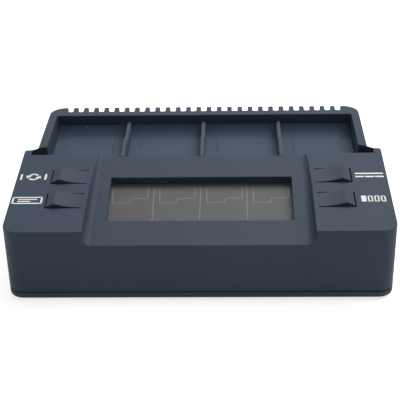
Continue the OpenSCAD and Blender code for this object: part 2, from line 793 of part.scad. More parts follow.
module dc_inlet() {
    front_y = case_d - wall - fit_gap;
    half = inlet_w / 2;
    color(plastic_black) in_case() difference() {
        union() {
            box([-inlet_x - half, -inlet_x + half], [front_y - 3.4, front_y],
                [main_top, inlet_h + half + 0.5]);
            box([-inlet_x - half, -inlet_x + half], [front_y - inlet_l, front_y - 3.3], [main_top, inlet_h]);
            translate([-inlet_x, front_y - inlet_l, inlet_h]) rotate([-90, 0, 0])
                pin(inlet_w - 0.4, [0, inlet_l - 1]);
        }
        translate([-inlet_x, front_y - inlet_bore_l, inlet_h]) rotate([-90, 0, 0])
            pin(socket_d, [0, inlet_bore_l + 10.5]);
    }
}
module dc_pin() {
    front_y = case_d - wall - fit_gap;
    r = pin_d / 2;
    tip = inlet_bore_l - 0.7;
    color(metal) in_case() translate([-inlet_x, front_y - inlet_bore_l, inlet_h]) rotate([-90, 0, 0])
        rotate_extrude() polygon([[0, 0], [r, 0], [r, tip - 0.6], [r - 0.4, tip], [0, tip]]);
}

// Cell contacts in the floor of each bay

// The plate lies under the insert, and its two bars stand up in the slots
module contact_block(i) {
    half = slot_w / 2;
    x = terminal_pitch / 2 + half + block_margin;
    color(plastic_black) in_case() translate([bay_x(i), 0, 0]) {
        box([-x, x], [slot_y[0] - block_margin, slot_y[1] + block_margin],
            [ceiling_h - block_plate_t, ceiling_h]);
        for (side = [-1, 1]) translate([side * terminal_pitch / 2, 0, 0])
            box([fit_gap - half, half - fit_gap], [slot_y[0] + fit_gap, bar_back_y],
                [ceiling_h - 0.2, ceiling_h + bar_h]);
    }
}
// A blade rises from its root on the bar to a crest just above the floor, under the terminal
module contact_blade(i) {
    bay = ceil(i / 2);
    side = i % 2 == 1 ? -1 : 1;
    reach = cell_y - bar_back_y;
    color("#c9b77a") in_case() translate([bay_x(bay) + side * terminal_pitch / 2, bar_back_y, blade_root_h])
        across(blade_w / 2) polygon([[0, 0], [reach, blade_rise], [reach + 1.1, blade_rise - 0.8],
            [reach + 1.1, blade_rise - 0.8 + blade_t], [reach, blade_rise + blade_t], [0, blade_t]]);
}

top_housing();
bottom_housing();
bay_insert();
key(-1, false);  // key_left_rear
key(-1, true);  // key_left_front
key(1, false);  // key_right_rear
key(1, true);  // key_right_front
key_switch(-1, false);  // key_switch_left_rear
key_switch(-1, true);  // key_switch_left_front
key_switch(1, false);  // key_switch_right_rear
key_switch(1, true);  // key_switch_right_front
key_stem(-1, false);  // key_stem_left_rear
key_stem(-1, true);  // key_stem_left_front
key_stem(1, false);  // key_stem_right_rear
key_stem(1, true);  // key_stem_right_front
display_window();
lcd_glass();
lcd_frame();
lcd_backlight();
lcd_strip(window_front - lcd_margin / 2);  // lcd_strip_front
lcd_strip(window_front + window_d + lcd_margin / 2);  // lcd_strip_rear
display_board();
main_board();
board_link();
contact_block(1);  // contact_block_1
contact_block(2);  // contact_block_2
contact_block(3);  // contact_block_3
contact_block(4);  // contact_block_4
contact_blade(1);  // contact_blade_1
contact_blade(2);  // contact_blade_2
contact_blade(3);  // contact_blade_3
contact_blade(4);  // contact_blade_4
contact_blade(5);  // contact_blade_5
contact_blade(6);  // contact_blade_6
contact_blade(7);  // contact_blade_7
contact_blade(8);  // contact_blade_8
dc_inlet();
dc_pin();
controller_chip();
charge_transistor(1);  // charge_transistor_1
charge_transistor(2);  // charge_transistor_2
charge_transistor(3);  // charge_transistor_3
charge_transistor(4);  // charge_transistor_4
choke();
capacitor(-1);  // capacitor_left
capacitor(1);  // capacitor_right
foot(-1, 0);  // foot_front_left
foot(1, 0);  // foot_front_right
foot(-1, 1);  // foot_rear_left
foot(1, 1);  // foot_rear_right
case_screws();
board_screws();
display_screws();
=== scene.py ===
import json
import math

import bmesh
import bpy
from mathutils import Matrix, Vector

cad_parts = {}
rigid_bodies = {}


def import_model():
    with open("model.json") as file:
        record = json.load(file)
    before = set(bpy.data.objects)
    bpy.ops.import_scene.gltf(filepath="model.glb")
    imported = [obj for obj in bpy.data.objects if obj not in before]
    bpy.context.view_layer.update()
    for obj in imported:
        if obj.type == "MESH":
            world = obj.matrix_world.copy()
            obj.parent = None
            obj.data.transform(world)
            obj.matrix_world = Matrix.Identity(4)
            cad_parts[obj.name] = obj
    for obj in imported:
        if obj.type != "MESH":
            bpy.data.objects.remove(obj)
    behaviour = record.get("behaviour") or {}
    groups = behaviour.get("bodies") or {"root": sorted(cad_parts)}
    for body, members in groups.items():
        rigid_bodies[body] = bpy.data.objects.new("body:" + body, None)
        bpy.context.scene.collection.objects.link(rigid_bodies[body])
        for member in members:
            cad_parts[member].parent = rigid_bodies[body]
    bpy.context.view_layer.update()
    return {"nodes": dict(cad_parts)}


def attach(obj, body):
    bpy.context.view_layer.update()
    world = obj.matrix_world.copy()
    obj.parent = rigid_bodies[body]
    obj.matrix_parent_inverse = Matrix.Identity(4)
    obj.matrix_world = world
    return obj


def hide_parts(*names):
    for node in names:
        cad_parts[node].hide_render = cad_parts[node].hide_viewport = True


for extra in list(bpy.data.objects):
    bpy.data.objects.remove(extra)

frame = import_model()
nodes = frame["nodes"]

MM = 0.001
CASE_D = 86.7
FOOT_H = 1.0
FRONT_H = 26.3
TOP_SLOPE = math.radians(4.36)
FIELD_H = 21.0
FIELD_SLOPE = math.radians(9.59)
BLOCK_D = 48.4
EAR_Y = 51.8
BLOCK_HALF = 65.0
GROOVE_HALF = 62.2
TRAY_HALF = 60.0
FIELD_HALF = 38.4
WINDOW_HALF = 31.8
KEY_ROOT = 39.9
SEAM_EDGE = 5.0
FLOOR_H = 23.6
RIM_H = 31.2
TRAY_BACK = 79.1
LCD_TOP = -3.35
PAD_FRONT = 59.2
PAD_RAMP = 1.6
WIDEST_BEVEL = 0.5
SIGN_X = 59.0
SIGN_REAR = 33.6
SIGN_FRONT = 18.8

# The case's own frame has the front face at y = 0 and the base at z = 0, in metres here
CASE = Matrix.Translation((0, -CASE_D / 2 * MM, FOOT_H * MM))
TOP = CASE @ Matrix.Translation((0, 0, FRONT_H * MM)) @ Matrix.Rotation(TOP_SLOPE, 4, "X")
FIELD = CASE @ Matrix.Translation((0, 0, FIELD_H * MM)) @ Matrix.Rotation(FIELD_SLOPE, 4, "X")


# Materials

def group(name, inputs, outputs):
    """A shader node group with its sockets, and its two end nodes."""
    tree = bpy.data.node_groups.new(name, "ShaderNodeTree")
    for label, kind, value in inputs:
        socket = tree.interface.new_socket(label, in_out="INPUT", socket_type=kind)
        socket.default_value = value
    for label, kind in outputs:
        tree.interface.new_socket(label, in_out="OUTPUT", socket_type=kind)
    source = tree.nodes.new("NodeGroupInput")
    sink = tree.nodes.new("NodeGroupOutput")
    return tree, source, sink


def add(tree, kind, links=None, **values):
    """A node with its inputs linked or set, and its other properties set."""
    node = tree.nodes.new(kind)
    for key, value in values.items():
        if hasattr(node, key):
            setattr(node, key, value)
        else:
            node.inputs[key.replace("_", " ")].default_value = value
    for key, source in (links or {}).items():
        tree.links.new(source, node.inputs[key])
    return node


def maths(tree, operation, a, b=None, c=None, clamp=False):
    node = tree.nodes.new("ShaderNodeMath")
    node.operation = operation
    node.use_clamp = clamp
    for i, value in enumerate((a, b, c)):
        if value is None:
            continue
        if isinstance(value, (int, float)):
            node.inputs[i].default_value = value
        else:
            tree.links.new(value, node.inputs[i])
    return node.outputs[0]


def mix(tree, factor, a, b, blend="MIX"):
    node = tree.nodes.new("ShaderNodeMix")
    node.data_type = "RGBA"
    node.blend_type = blend
    for socket, value in ((node.inputs[0], factor), (node.inputs[6], a), (node.inputs[7], b)):
        if isinstance(value, (int, float, tuple)):
            socket.default_value = value
        else:
            tree.links.new(value, socket)
    return node.outputs[2]


def seen_ray(tree):
    """1 for rays from the camera, in mirrors and through clear stuff, 0 for the others."""
    rays = add(tree, "ShaderNodeLightPath").outputs
    seen = maths(tree, "MAXIMUM", rays["Is Camera Ray"], rays["Is Glossy Ray"])
    return maths(tree, "MAXIMUM", seen, rays["Is Transmission Ray"])


def noise(tree, vector, scale, detail=3.0, roughness=0.5):
    node = add(tree, "ShaderNodeTexNoise", {"Vector": vector}, Scale=scale, Detail=detail,
               Roughness=roughness)
    return node.outputs["Fac"]


def moulded_group():
    """Moulded plastic: soft colour drift, a spark-eroded grain, rubbed edges that also carry a painted
    highlight, and a few specks of dust.
    """
    tree, source, sink = group("moulded_plastic", [
        ("Colour", "NodeSocketColor", (0.05, 0.06, 0.08, 1)),
        ("Grain", "NodeSocketFloat", 1.0),
        ("Edge", "NodeSocketFloat", 0.0),
        ("Dust", "NodeSocketFloat", 1.0),
        ("Roughness", "NodeSocketFloat", 0.5)],
        [("Colour", "NodeSocketColor"), ("Roughness", "NodeSocketFloat"), ("Normal", "NodeSocketVector")])
    place = add(tree, "ShaderNodeTexCoord").outputs["Object"]
    drift = noise(tree, place, 26.0, 2.0)
    mottle = noise(tree, place, 420.0, 4.0, 0.6)
    grain = noise(tree, place, 3400.0, 2.0)
    cells = add(tree, "ShaderNodeTexVoronoi", {"Vector": place}, Scale=105.0, Randomness=1.0)
    near = maths(tree, "LESS_THAN", cells.outputs["Distance"], 0.019)
    split = add(tree, "ShaderNodeSeparateColor", {"Color": cells.outputs["Color"]})
    chosen = maths(tree, "GREATER_THAN", split.outputs[0], 0.86)
    up = add(tree, "ShaderNodeSeparateXYZ", {"Vector": add(tree, "ShaderNodeNewGeometry").outputs["Normal"]})
    lies = maths(tree, "GREATER_THAN", up.outputs[2], 0.9)
    speck = maths(tree, "MULTIPLY", maths(tree, "MULTIPLY", near, chosen), lies)
    speck = maths(tree, "MULTIPLY", speck, source.outputs["Dust"])
    shade = maths(tree, "MULTIPLY_ADD", drift, 0.22, 0.89)
    shade = maths(tree, "ADD", shade, maths(tree, "MULTIPLY_ADD", mottle, 0.16, -0.08))
    tone = mix(tree, 1.0, source.outputs["Colour"],
               add(tree, "ShaderNodeCombineColor", {"Red": shade, "Green": shade, "Blue": shade}).outputs[0],
               "MULTIPLY")
    # Where Edge is set the tone turns lighter and smoother: partly rubbed wear, partly a painted highlight
    # along the rounded edges
    rubbed_wear_and_painted_highlight = maths(tree, "MULTIPLY_ADD", mottle, 0.9, -0.1, True)
    rubbed_wear_and_painted_highlight = maths(tree, "MULTIPLY", source.outputs["Edge"], rubbed_wear_and_painted_highlight)
    tone = mix(tree, maths(tree, "MULTIPLY", rubbed_wear_and_painted_highlight, 0.28), tone, (0.28, 0.33, 0.39, 1))
    tone = mix(tree, maths(tree, "MULTIPLY", speck, 0.5), tone, (0.62, 0.64, 0.66, 1))
    tree.links.new(tone, sink.inputs["Colour"])
    rough = maths(tree, "MULTIPLY_ADD", mottle, 0.12, source.outputs["Roughness"])
    rough = maths(tree, "SUBTRACT", rough, maths(tree, "MULTIPLY", rubbed_wear_and_painted_highlight, 0.18), clamp=True)
    tree.links.new(rough, sink.inputs["Roughness"])
    height = maths(tree, "MULTIPLY_ADD", mottle, 0.5, grain)
    bump = add(tree, "ShaderNodeBump", {"Height": height, "Strength": source.outputs["Grain"]},
               Distance=0.00004)
    tree.links.new(bump.outputs["Normal"], sink.inputs["Normal"])
    return tree


def metal_group():
    """Plated metal with fine drawn lines and light spots."""
    tree, source, sink = group("plated_metal", [
        ("Colour", "NodeSocketColor", (0.6, 0.6, 0.6, 1)),
        ("Roughness", "NodeSocketFloat", 0.3)],
        [("Colour", "NodeSocketColor"), ("Roughness", "NodeSocketFloat"), ("Normal", "NodeSocketVector")])
    place = add(tree, "ShaderNodeTexCoord").outputs["Object"]
    stretch = add(tree, "ShaderNodeMapping", {"Vector": place})
    stretch.inputs["Scale"].default_value = (1.0, 9.0, 1.0)
    lines = noise(tree, stretch.outputs[0], 1500.0, 3.0)
    spots = noise(tree, place, 600.0, 4.0, 0.65)
    tone = mix(tree, maths(tree, "MULTIPLY", spots, 0.45), source.outputs["Colour"], (0.16, 0.14, 0.11, 1))
    tree.links.new(tone, sink.inputs["Colour"])
    rough = maths(tree, "MULTIPLY_ADD", lines, 0.25, source.outputs["Roughness"])
    tree.links.new(rough, sink.inputs["Roughness"])
    bump = add(tree, "ShaderNodeBump", {"Height": lines}, Strength=0.5, Distance=0.00002)
    tree.links.new(bump.outputs["Normal"], sink.inputs["Normal"])
    return tree


MOULDED = moulded_group()
METAL = metal_group()


def material(name):
    made = bpy.data.materials.new(name)
    made.use_nodes = True
    return made, made.node_tree, made.node_tree.nodes["Principled BSDF"]


def skinned(name, skin_tree, colour, **values):
    """A material whose tone, roughness and relief come from a node group, and its shader."""
    made, tree, shader = material(name)
    skin = tree.nodes.new("ShaderNodeGroup")
    skin.node_tree = skin_tree
    skin.inputs["Colour"].default_value = (*colour, 1)
    for key, value in values.items():
        skin.inputs[key].default_value = value
    for key, socket in (("Colour", "Base Color"), ("Roughness", "Roughness"), ("Normal", "Normal")):
        tree.links.new(skin.outputs[key], shader.inputs[socket])
    made.diffuse_color = (*colour, 1)
    return made, shader


def moulded(name, colour, roughness=0.52, grain=0.6, edge=0.0, dust=0.0, specular=0.5):
    made, shader = skinned(name, MOULDED, colour, Roughness=roughness, Grain=grain, Edge=edge, Dust=dust)
    shader.inputs["Specular IOR Level"].default_value = specular
    return made


def metal(name, colour, roughness):
    made, shader = skinned(name, METAL, colour, Roughness=roughness)
    shader.inputs["Metallic"].default_value = 1.0
    return made


def board_material():
    """Solder mask over copper tracks, with lighter tracks and small tinned pads."""
    made, tree, shader = material("solder_mask")
    place = add(tree, "ShaderNodeTexCoord").outputs["Object"]
    turned = add(tree, "ShaderNodeMapping", {"Vector": place})
    turned.inputs["Rotation"].default_value = (0, 0, math.radians(45))
    bricks = add(tree, "ShaderNodeTexBrick", {"Vector": place}, Scale=260.0, Mortar_Size=0.06,
                 Brick_Width=1.9, Row_Height=0.55)
    across = add(tree, "ShaderNodeTexBrick", {"Vector": turned.outputs[0]}, Scale=140.0, Mortar_Size=0.04,
                 Brick_Width=2.3, Row_Height=0.7)
    track = maths(tree, "MAXIMUM", bricks.outputs["Fac"], across.outputs["Fac"])
    pads = add(tree, "ShaderNodeTexVoronoi", {"Vector": place}, Scale=330.0)
    pad = maths(tree, "LESS_THAN", pads.outputs["Distance"], 0.14)
    tone = mix(tree, maths(tree, "MULTIPLY", track, 0.7), (0.012, 0.075, 0.03, 1), (0.04, 0.17, 0.07, 1))
    tone = mix(tree, pad, tone, (0.5, 0.5, 0.46, 1))
    tree.links.new(tone, shader.inputs["Base Color"])
    rough = maths(tree, "MULTIPLY_ADD", noise(tree, place, 500.0), 0.2, 0.2)
    tree.links.new(rough, shader.inputs["Roughness"])
    height = maths(tree, "ADD", track, pad)
    bump = add(tree, "ShaderNodeBump", {"Height": height}, Strength=0.6, Distance=0.00004)
    tree.links.new(bump.outputs["Normal"], shader.inputs["Normal"])
    made.diffuse_color = (0.02, 0.1, 0.04, 1)
    return made


def display_material():
    """The dim grey face of a switched-off display, with a darker olive band at its rear, partly its margin
    and partly a painted shadow of the window's rear edge, and a fine weave.
    """
    made, tree, shader = material("display_face")
    place = add(tree, "ShaderNodeTexCoord").outputs["Object"]
    split = add(tree, "ShaderNodeSeparateXYZ", {"Vector": place})
    span = add(tree, "ShaderNodeMapRange", {"Value": split.outputs[0]}, From_Min=-0.032, From_Max=0.032)
    tone = mix(tree, span.outputs[0], (0.152, 0.148, 0.156, 1), (0.156, 0.163, 0.180, 1))
    cloud = noise(tree, place, 70.0, 2.0)
    tone = mix(tree, maths(tree, "MULTIPLY", cloud, 0.3), tone, (0.112, 0.124, 0.122, 1))
    weave = noise(tree, place, 2600.0, 1.0)
    tone = mix(tree, maths(tree, "MULTIPLY", weave, 0.12), tone, (0.13, 0.13, 0.13, 1))
    up_slope = maths(tree, "MULTIPLY", maths(tree, "SUBTRACT", split.outputs[1], -CASE_D / 2 * MM),
                     math.cos(FIELD_SLOPE))
    up_slope = maths(tree, "MULTIPLY_ADD", maths(tree, "SUBTRACT", split.outputs[2], (FIELD_H + FOOT_H) * MM),
                     math.sin(FIELD_SLOPE), up_slope)
    # A darker band at the rear: the display's margin, made darker to paint the crisp shadow of the window's
    # rear edge
    margin_and_painted_shadow = maths(tree, "GREATER_THAN", up_slope, 34.9 * MM)
    tone = mix(tree, margin_and_painted_shadow, tone, (0.108, 0.118, 0.112, 1))
    shader.inputs["Specular IOR Level"].default_value = 0.04
    tree.links.new(tone, shader.inputs["Base Color"])
    tree.links.new(maths(tree, "MULTIPLY_ADD", weave, 0.1, 0.3), shader.inputs["Roughness"])
    bump = add(tree, "ShaderNodeBump", {"Height": weave}, Strength=0.1, Distance=0.00001)
    tree.links.new(bump.outputs["Normal"], shader.inputs["Normal"])
    made.diffuse_color = (0.14, 0.14, 0.13, 1)
    return made


def pane_material():
    """Clear plastic pane with faint smears."""
    made, tree, shader = material("clear_pane")
    place = add(tree, "ShaderNodeTexCoord").outputs["Object"]
    smear = noise(tree, place, 120.0, 4.0, 0.6)
    shader.inputs["Base Color"].default_value = (0.12, 0.12, 0.11, 1)
    shader.inputs["Alpha"].default_value = 0.05
    shader.inputs["Specular IOR Level"].default_value = 0.25
    tree.links.new(maths(tree, "MULTIPLY_ADD", smear, 0.1, 0.25), shader.inputs["Roughness"])
    bump = add(tree, "ShaderNodeBump", {"Height": smear}, Strength=0.04, Distance=0.00002)
    tree.links.new(bump.outputs["Normal"], shader.inputs["Normal"])
    made.diffuse_color = (0.9, 0.95, 0.93, 0.3)
    return made


def print_material(name, colour, roughness=0.45):
    """Printed ink with a slightly uneven film."""
    made, tree, shader = material(name)
    place = add(tree, "ShaderNodeTexCoord").outputs["Object"]
    film = noise(tree, place, 1800.0, 3.0)
    tone = mix(tree, maths(tree, "MULTIPLY", film, 0.25), (*colour, 1), tuple(c * 0.7 for c in colour) + (1,))
    tree.links.new(tone, shader.inputs["Base Color"])
    tree.links.new(maths(tree, "MULTIPLY_ADD", film, 0.2, roughness), shader.inputs["Roughness"])
    bump = add(tree, "ShaderNodeBump", {"Height": film}, Strength=0.3, Distance=0.00001)
    tree.links.new(bump.outputs["Normal"], shader.inputs["Normal"])
    made.diffuse_color = (*colour, 1)
    return made


SLATE = (0.034, 0.052, 0.081)
# The bay insert's tone is lighter than the shell's, which paints extra light onto the bay floors
SLATE_PAINTED_LIGHT = (0.052, 0.076, 0.115)
SLATE_DARK = (0.042, 0.059, 0.080)
slate = moulded("slate_plastic", SLATE, dust=1.0, specular=0.2)
slate_edge = moulded("slate_plastic_edge", SLATE, edge=0.6, specular=0.3)
insert_painted_light = moulded("insert_plastic", SLATE_PAINTED_LIGHT, dust=1.0, specular=0.2)
insert_painted_light_edge = moulded("insert_plastic_edge", SLATE_PAINTED_LIGHT, edge=0.6, specular=0.3)
dark = moulded("dark_plastic", SLATE_DARK, specular=0.2)
dark_edge = moulded("dark_plastic_edge", SLATE_DARK, edge=0.6, specular=0.3)
black = moulded("black_plastic", (0.012, 0.012, 0.014), roughness=0.38, grain=0.5)
stem_brown = moulded("stem_plastic", (0.05, 0.03, 0.022), roughness=0.35, grain=0.3)
chip_black = moulded("chip_plastic", (0.014, 0.014, 0.016), roughness=0.5, grain=0.9)
rubber = moulded("foot_rubber", (0.013, 0.013, 0.014), roughness=0.7, grain=1.0, specular=0.3)
milky = moulded("light_guide", (0.72, 0.74, 0.68), roughness=0.25, grain=0.1)
pink_rubber = moulded("elastic_strip", (0.5, 0.34, 0.32), roughness=0.6, grain=0.4)
link_film = moulded("flat_link", (0.62, 0.62, 0.58), roughness=0.35, grain=0.2)
ferrite = moulded("ferrite", (0.03, 0.028, 0.026), roughness=0.55, grain=1.0)
sleeve = moulded("capacitor_sleeve", (0.012, 0.03, 0.08), roughness=0.25, grain=0.2)
steel = metal("zinc_steel", (0.62, 0.63, 0.65), 0.25)
nickel = metal("nickel_brass", (0.74, 0.68, 0.5), 0.2)
solder = metal("solder", (0.66, 0.67, 0.68), 0.3)
board = board_material()
face = display_material()
pane = pane_material()
white_ink = print_material("white_ink", (0.90, 0.91, 0.92))
faint_ink = print_material("display_segment", (0.23, 0.23, 0.225))
painted_glint_ink = print_material("painted_glint", (0.9, 0.9, 0.85), roughness=0.2)
fluff = moulded("dust_fluff", (0.34, 0.38, 0.44), roughness=0.9, specular=0.1)


# Helpers for meshes

def linked(name, data):
    """A new object in the scene that shows a mesh, a lamp or a camera."""
    obj = bpy.data.objects.new(name, data)
    bpy.context.scene.collection.objects.link(obj)
    return obj


def finish_mesh(name, mesh, materials, body, replaced=()):
    obj = linked(name, mesh)
    mesh.materials.clear()
    for made in materials:
        mesh.materials.append(made)
    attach(obj, body)
    if replaced:
        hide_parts(*replaced)
    return obj


def applied(obj):
    """The mesh of an object with its modifiers, as a new mesh; the object itself goes."""
    graph = bpy.context.evaluated_depsgraph_get()
    mesh = bpy.data.meshes.new_from_object(obj.evaluated_get(graph), preserve_all_data_layers=True,
                                           depsgraph=graph)
    bpy.data.objects.remove(obj)
    return mesh


def node_bmesh(node):
    """A merged copy of a piece's mesh, with its flat faces joined and the pads' front steps softened."""
    bm = bmesh.new()
    bm.from_mesh(nodes[node].data)
    bmesh.ops.remove_doubles(bm, verts=bm.verts, dist=2e-6)
    if node == "bay_insert":
        # The pads' low front steps become gentle ramps
        for vert in bm.verts:
            at_front = abs(vert.co.y / MM + CASE_D / 2 - PAD_FRONT) < 0.01
            if at_front and vert.co.z / MM > FOOT_H + FLOOR_H + 0.1:
                vert.co.y += PAD_RAMP * MM
    bmesh.ops.dissolve_limit(bm, angle_limit=math.radians(0.6), verts=bm.verts, edges=bm.edges,
                             delimit={"NORMAL"})
    bm.normal_update()
    return bm


def bevelled(node, width_at, materials, body, crease=15.0):
    """A copy of a node with its outer edges rounded. width_at gives an edge's rounding in millimetres.
    Edges that stay as they are look sharp where they bend by more than the crease, in degrees."""
    bm = node_bmesh(node)
    layer = bm.edges.layers.float.new("bevel_weight_edge")
    for edge in bm.edges:
        if len(edge.link_faces) != 2:
            continue
        turn = edge.calc_face_angle_signed(0.0)
        if abs(turn) > math.radians(crease):
            edge.smooth = False
        if turn < math.radians(32):
            continue
        mid = (edge.verts[0].co + edge.verts[1].co) / 2
        spot = (mid.x / MM, mid.y / MM + CASE_D / 2, mid.z / MM - FOOT_H)
        width = width_at(spot, [f.normal for f in edge.link_faces])
        edge[layer] = width / WIDEST_BEVEL
        if width > 0:
            edge.smooth = True
    mesh = bpy.data.meshes.new(node + "_round")
    bm.to_mesh(mesh)
    bm.free()
    for poly in mesh.polygons:
        poly.use_smooth = True
        poly.material_index = 0
    if "custom_normal" in mesh.attributes:
        mesh.attributes.remove(mesh.attributes["custom_normal"])
    obj = linked(node + "_round", mesh)
    mesh.materials.append(materials[0])
    mesh.materials.append(materials[1])
    bevel = obj.modifiers.new("Round", "BEVEL")
    bevel.limit_method = "WEIGHT"
    bevel.width = WIDEST_BEVEL * MM
    bevel.segments = 2
    bevel.use_clamp_overlap = False
    # The rounded faces take the second material, whose lighter tone paints a highlight along the edges as
    # well as rubbed wear
    bevel.material = 1
    bevel.miter_outer = "MITER_SHARP"
    result = applied(obj)
    holder = linked(node + "_weighted", result)
    weigh = holder.modifiers.new("Weigh", "WEIGHTED_NORMAL")
    weigh.keep_sharp = True
    weigh.weight = 50
    result = applied(holder)
    return finish_mesh(node + "_skin", result, materials, body, (node,))


def top_height(x, y):
    """Height of the upper shell's outside at a place."""
    if y > BLOCK_D + 0.2 and abs(x) < GROOVE_HALF + 0.1 or y > EAR_Y:
        return RIM_H
    if abs(x) < FIELD_HALF - 0.1:
        return FIELD_H + y * math.tan(FIELD_SLOPE)
    return FRONT_H + y * math.tan(TOP_SLOPE)


def top_width(spot, normals):
    """How far each outer edge of the upper shell is rounded, in millimetres. Inner edges stay sharp."""
    x, y, z = spot
    if min(n.z for n in normals) < -0.2:
        return 0.0
    if BLOCK_D + 0.1 < y < TRAY_BACK + 0.1 and abs(x) < GROOVE_HALF + 0.5 and z < RIM_H - 0.1:
        return 0.0
    if y < EAR_Y + 1.4 and TRAY_HALF - 4.0 < abs(x) < TRAY_HALF - 0.1 and z > RIM_H - 2.0:
        return 0.0
    on_side = abs(x) > BLOCK_HALF - 1.0 or y > EAR_Y - 0.2 and abs(x) > TRAY_HALF - 1.0
    outside = on_side or y < 1.0 or y > CASE_D - 4.7
    if z < top_height(x, y) - 1.9 and not outside:
        return 0.0
    if z < SEAM_EDGE:
        return 0.15
    # The openings of the keys, whose roots stay sharp, and then the window
    if KEY_ROOT - 0.2 < abs(x) < KEY_ROOT + 13.1 and 12.0 < y < 40.0:
        return 0.0 if abs(x) < KEY_ROOT + 0.4 else 0.08
    if abs(x) < WINDOW_HALF + 1.2 and 10.0 < y < 38.0:
        return 0.22
    return 0.3


def bottom_width(spot, normals):
    """The lower shell is rounded round its lower face and a little at the seam."""
    z = spot[2]
    if z > 2.2:
        return 0.12 if z < 3.2 else 0.0
    if max(abs(n.z) for n in normals) > 0.8 and z < 0.2:
        return 0.2
    return 0.0


def insert_width(spot, normals):
    """The insert is rounded at its slots and along the tops of its dividers."""
    y, z = spot[1:]
    if min(n.z for n in normals) < -0.2 or z < FLOOR_H - 0.1 or y < BLOCK_D + 0.4:
        return 0.0
    if z < FLOOR_H + 0.1:
        return 0.12
    return 0.26 if z > FLOOR_H + 4.2 else 0.0


def key_width(spot, normals):
    """A key is rounded above the shell's top, but not at its root."""
    x, y, z = spot
    above_top = z > FRONT_H + y * math.tan(TOP_SLOPE) - 0.2
    return 0.09 if above_top and abs(x) > KEY_ROOT + 0.4 else 0.0


bevelled("top_housing", top_width, (slate, slate_edge), "case")
bevelled("bay_insert", insert_width, (insert_painted_light, insert_painted_light_edge), "case")
bevelled("bottom_housing", bottom_width, (dark, dark_edge), "case", 40.0)
for side in ("left", "right"):
    for row in ("rear", "front"):
        key = "key_" + side + "_" + row
        bevelled(key, key_width, (slate, slate_edge), key)


# Prints

class Print:
    """Flat shapes on one plane, raised as a thin film. Sizes are in millimetres in the plane."""

    def __init__(self, plane, height, thickness=0.03):
        self.bm = bmesh.new()
        self.plane = plane
        self.height = height
        self.thickness = thickness

    def shape(self, points):
        low = [self.bm.verts.new(self.plane @ Vector((x * MM, y * MM, self.height * MM))) for x, y in points]
        high = [self.bm.verts.new(self.plane @ Vector((x * MM, y * MM, (self.height + self.thickness) * MM)))
                for x, y in points]
        self.bm.faces.new(high)
        self.bm.faces.new(list(reversed(low)))
        count = len(points)
        for i in range(count):
            j = (i + 1) % count
            self.bm.faces.new((low[i], low[j], high[j], high[i]))

    def bar(self, x0, y0, x1, y1, width):
        """A straight stroke with square ends."""
        a, b = Vector((x0, y0)), Vector((x1, y1))
        d = (b - a).normalized()
        n = Vector((-d.y, d.x)) * width / 2
        a, b = a - d * width / 2, b + d * width / 2
        self.shape([tuple(a - n), tuple(b - n), tuple(b + n), tuple(a + n)])

    def path(self, points, width):
        for (x0, y0), (x1, y1) in zip(points, points[1:]):
            self.bar(x0, y0, x1, y1, width)

    def disc(self, x, y, r, steps=20):
        self.shape([(x + r * math.cos(2 * math.pi * i / steps), y + r * math.sin(2 * math.pi * i / steps))
                    for i in range(steps)])

    def ring(self, x, y, r, width, a0=0.0, a1=360.0, steps=28):
        angles = [math.radians(a0 + (a1 - a0) * i / steps) for i in range(steps + 1)]
        for p, q in zip(angles, angles[1:]):
            inner, outer = r - width / 2, r + width / 2
            self.shape([(x + inner * math.cos(p), y + inner * math.sin(p)),
                        (x + outer * math.cos(p), y + outer * math.sin(p)),
                        (x + outer * math.cos(q), y + outer * math.sin(q)),
                        (x + inner * math.cos(q), y + inner * math.sin(q))])

    def piece(self, name, made):
        bmesh.ops.recalc_face_normals(self.bm, faces=self.bm.faces)
        mesh = bpy.data.meshes.new(name)
        self.bm.to_mesh(mesh)
        self.bm.free()
        return finish_mesh(name, mesh, (made,), "case")


def key_signs():
    """Plain white signs beside the keys."""
    sign = Print(TOP, 0.0)
    # Two arrows that turn round each other, between two bars
    x, y = -SIGN_X, SIGN_REAR
    sign.ring(x, y, 1.7, 0.75, 35, 160)
    sign.ring(x, y, 1.7, 0.75, 215, 340)
    sign.shape([(x - 2.7, y + 1.0), (x - 0.6, y + 0.3), (x - 2.4, y - 0.8)])
    sign.shape([(x + 2.7, y - 1.0), (x + 0.6, y - 0.3), (x + 2.4, y + 0.8)])
    sign.bar(x - 4.3, y + 1.4, x - 4.3, y - 1.4, 0.75)
    sign.bar(x + 4.3, y + 1.4, x + 4.3, y - 1.4, 0.75)
    # A screen with two lines
    y = SIGN_FRONT
    sign.path([(x - 4.9, y - 1.8), (x + 4.9, y - 1.8), (x + 4.9, y + 1.8), (x - 4.9, y + 1.8),
               (x - 4.9, y - 1.8)], 0.65)
    sign.bar(x - 3.0, y + 0.55, x + 3.0, y + 0.55, 0.6)
    sign.bar(x - 3.0, y - 0.65, x + 0.8, y - 0.65, 0.6)
    # A flow: a long line over a broken one
    x, y = SIGN_X - 0.2, SIGN_REAR
    sign.bar(x - 4.5, y + 1.0, x + 4.5, y + 1.0, 0.85)
    for i in range(3):
        sign.bar(x - 4.5 + i * 3.4, y - 1.0, x - 2.3 + i * 3.4, y - 1.0, 0.85)
    # Four places in a row, one of them taken
    y = SIGN_FRONT
    for i in range(4):
        left = x - 4.2 + i * 2.2
        if i == 0:
            sign.shape([(left, y - 1.8), (left + 1.7, y - 1.8), (left + 1.7, y + 1.8), (left, y + 1.8)])
        else:
            sign.path([(left + 0.25, y - 1.55), (left + 1.45, y - 1.55), (left + 1.45, y + 1.55),
                       (left + 0.25, y + 1.55), (left + 0.25, y - 1.55)], 0.5)
    sign.piece("key_signs", white_ink)


